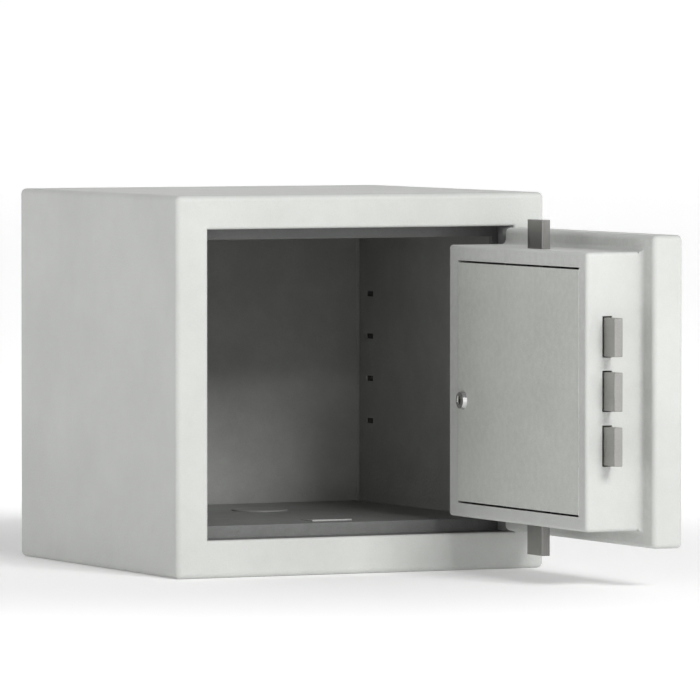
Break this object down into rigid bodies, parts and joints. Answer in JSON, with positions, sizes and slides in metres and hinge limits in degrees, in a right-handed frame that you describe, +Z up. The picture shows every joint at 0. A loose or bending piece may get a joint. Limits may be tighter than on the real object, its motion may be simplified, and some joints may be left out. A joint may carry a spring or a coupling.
{
  "type": "compact steel safe",
  "caption": "Compact double-walled steel safe with an inset door standing open, flat sliding bolts, a boltwork casing with an access panel and a dark lined cavity.",
  "frame": {"origin": "centre of the cabinet's underside, at floor level", "axes": "+Z up, -Y out of the front of the cabinet, +X to the right seen from the front; the door is hinged on +X and stored open 90 degrees"},
  "size_m": [0.417, 0.7044, 0.37],
  "materials": {
    "powder_coat_grey": "textured powder coat",
    "dark_liner": "matt",
    "mineral_filling": "rough",
    "plated_steel": "zinc plated",
    "plain_steel": "turned",
    "chrome_trim": "polished",
    "brass_parts": "turned"
  },
  "bodies": {
    "cabinet": {"shell_front": "powder_coat_grey", "shell_left": "powder_coat_grey", "shell_right": "powder_coat_grey", "shell_top": "powder_coat_grey", "shell_bottom": "powder_coat_grey", "shell_back": "powder_coat_grey", "door_jambs": "powder_coat_grey", "rebate_lip": "powder_coat_grey", "hinge_post": "powder_coat_grey", "hinge_housing_bottom": "plain_steel", "hinge_housing_top": "plain_steel", "hinge_pins": "plain_steel", "hinge_washers": "brass_parts", "inner_liner": "dark_liner", "filling_bottom": "mineral_filling", "filling_top": "mineral_filling", "filling_left": "mineral_filling", "filling_right": "mineral_filling", "filling_back": "mineral_filling", "floor_board": "mineral_filling", "floor_plate": "dark_liner", "anchor_sleeve": "plated_steel", "anchor_cap": "dark_liner", "bottom_strike": "plated_steel", "top_strike": "plated_steel"},
    "door": {"leaf_shell": "powder_coat_grey", "leaf_filling": "mineral_filling", "hard_plate": "plated_steel", "hinge_arm_bottom": "powder_coat_grey", "hinge_arm_top": "powder_coat_grey", "hinge_bushes": "brass_parts", "boltwork_casing": "powder_coat_grey", "panel_hinge_knuckles": "powder_coat_grey", "panel_hinge_wire": "plain_steel", "side_bolt_guide": "plated_steel", "rod_guide_top": "plated_steel", "rod_guide_bottom": "plated_steel", "lock_case": "plated_steel", "lock_cover": "plated_steel", "lock_levers": "brass_parts", "lever_post": "plain_steel", "lock_screws": "plated_steel", "key_guide_tube": "brass_parts", "key_rosette": "chrome_trim", "key_cover_rivet": "chrome_trim", "pull_knob": "chrome_trim", "knob_stud": "plain_steel"},
    "panel": {"access_panel": "powder_coat_grey", "cam_lock_housing": "chrome_trim", "cam_lock_nut": "plated_steel"},
    "cam": {"cam_lock_plug": "chrome_trim", "cam_lock_tongue": "plated_steel"},
    "side_boltwork": {"side_bolts": "plated_steel", "bolt_carrier": "plated_steel"},
    "top_bolt_body": {"top_bolt": "plated_steel"},
    "bottom_bolt_body": {"bottom_bolt": "plated_steel"},
    "drive": {"drive_disc": "plated_steel", "drive_spindle": "plain_steel"},
    "key_cover_body": {"key_cover": "chrome_trim"}
  },
  "joints": [
    {"name": "door_hinge", "type": "hinge", "parent": "cabinet", "child": "door", "pos_m": [0.17, -0.1775, 0.187], "axis": [0, 0, 1], "range_deg": [-90, 0]},
    {"name": "side_bolt_slide", "type": "slide", "parent": "door", "child": "side_boltwork", "axis": [0, -1, 0], "range_m": [-0.0312, 0.0001]},
    {"name": "top_bolt_slide", "type": "slide", "parent": "door", "child": "top_bolt_body", "axis": [0, 0, 1], "range_m": [-0.0312, 0.0001]},
    {"name": "bottom_bolt_slide", "type": "slide", "parent": "door", "child": "bottom_bolt_body", "axis": [0, 0, -1], "range_m": [-0.0312, 0.0001]},
    {"name": "drive_turn", "type": "hinge", "parent": "door", "child": "drive", "pos_m": [0.125, -0.35425, 0.187], "axis": [1, 0, 0], "range_deg": [-91, 1]},
    {"name": "panel_hinge", "type": "hinge", "parent": "door", "child": "panel", "pos_m": [0.0936, -0.472, 0.187], "axis": [0, 0, 1], "range_deg": [0, 80]},
    {"name": "cam_turn", "type": "hinge", "parent": "panel", "child": "cam", "pos_m": [0.105, -0.2245, 0.1686], "axis": [1, 0, 0], "range_deg": [0, 90]},
    {"name": "key_cover_turn", "type": "hinge", "parent": "door", "child": "key_cover_body", "pos_m": [0.189, -0.35425, 0.204], "axis": [1, 0, 0], "range_deg": [-120, 120]}
  ],
  "couplings": [
    {"joint": "side_bolt_slide", "follows": "door_hinge", "m_per_rad": 0.019735},
    {"joint": "top_bolt_slide", "follows": "door_hinge", "m_per_rad": 0.019735},
    {"joint": "bottom_bolt_slide", "follows": "door_hinge", "m_per_rad": 0.019735},
    {"joint": "drive_turn", "follows": "door_hinge", "ratio": 1}
  ]
}
